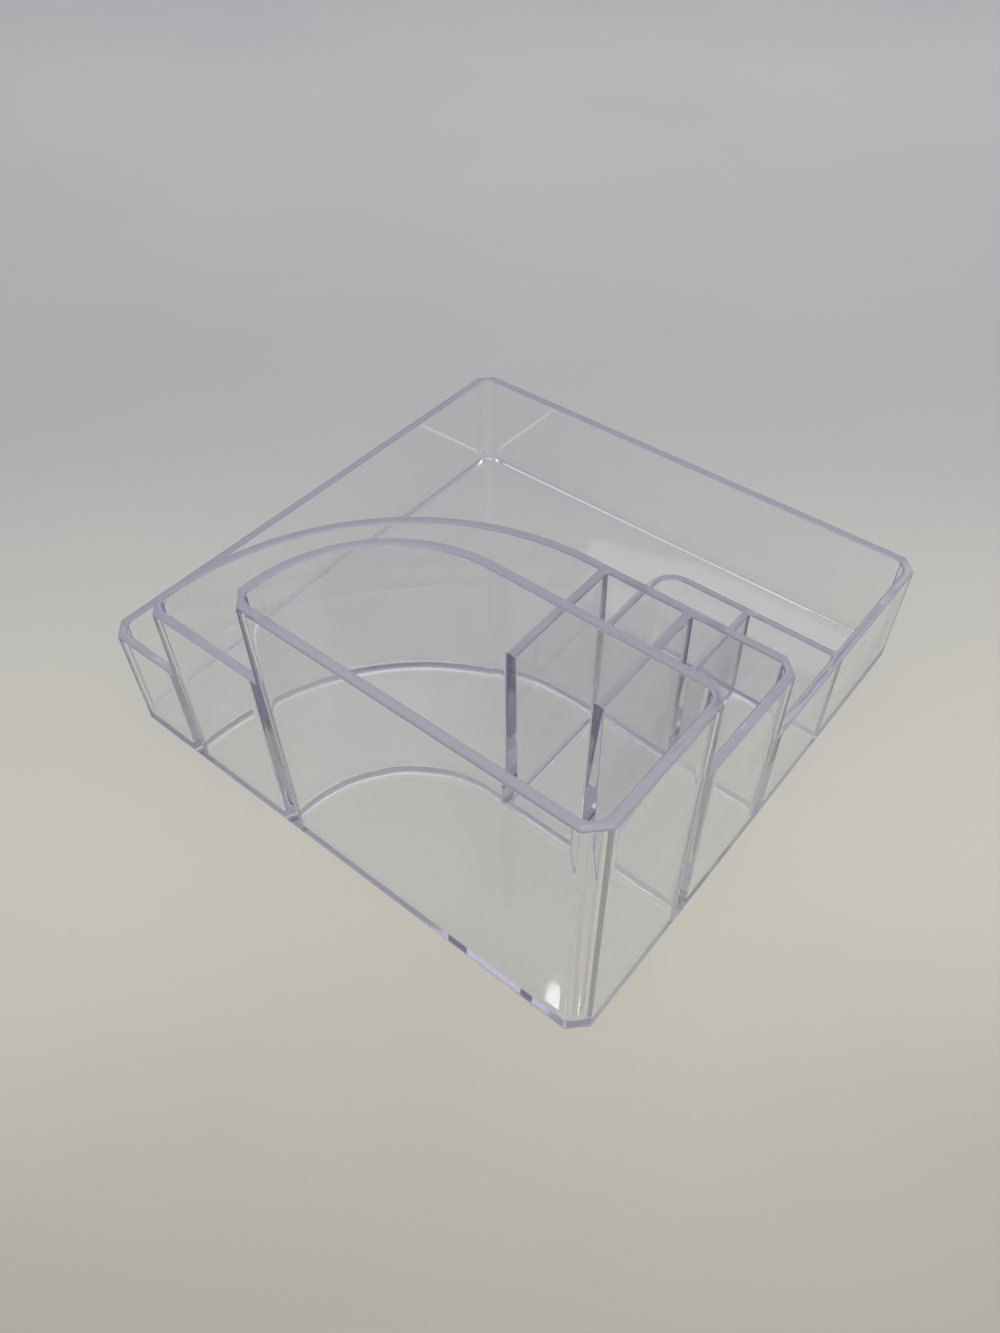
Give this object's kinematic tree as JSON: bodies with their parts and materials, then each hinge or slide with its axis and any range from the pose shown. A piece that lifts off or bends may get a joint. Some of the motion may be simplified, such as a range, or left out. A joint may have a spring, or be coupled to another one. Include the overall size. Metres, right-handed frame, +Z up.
{
  "type": "makeup organizer",
  "caption": "Square clear makeup organizer in three stepped heights, with curved tier walls, straight dividers and small rear cells over one low open tray.",
  "frame": {"origin": "centre of the flat underside", "axes": "+Z up; +X and +Y run along the outer walls, from the tall corner towards the low sides"},
  "size_m": [0.1865, 0.1865, 0.0964],
  "materials": {
    "clear_plastic": "clear and glossy, colourless with a faint blue-violet edge"
  },
  "bodies": {
    "root": {"base_floor": "clear_plastic", "front_left_wall": "clear_plastic", "front_right_wall": "clear_plastic", "back_left_wall": "clear_plastic", "back_right_wall": "clear_plastic", "tall_tier_wall": "clear_plastic", "mid_tier_wall": "clear_plastic", "tier_divider_left": "clear_plastic", "tier_divider_right": "clear_plastic", "cell_rear_wall": "clear_plastic", "cell_partition": "clear_plastic"}
  },
  "joints": []
}
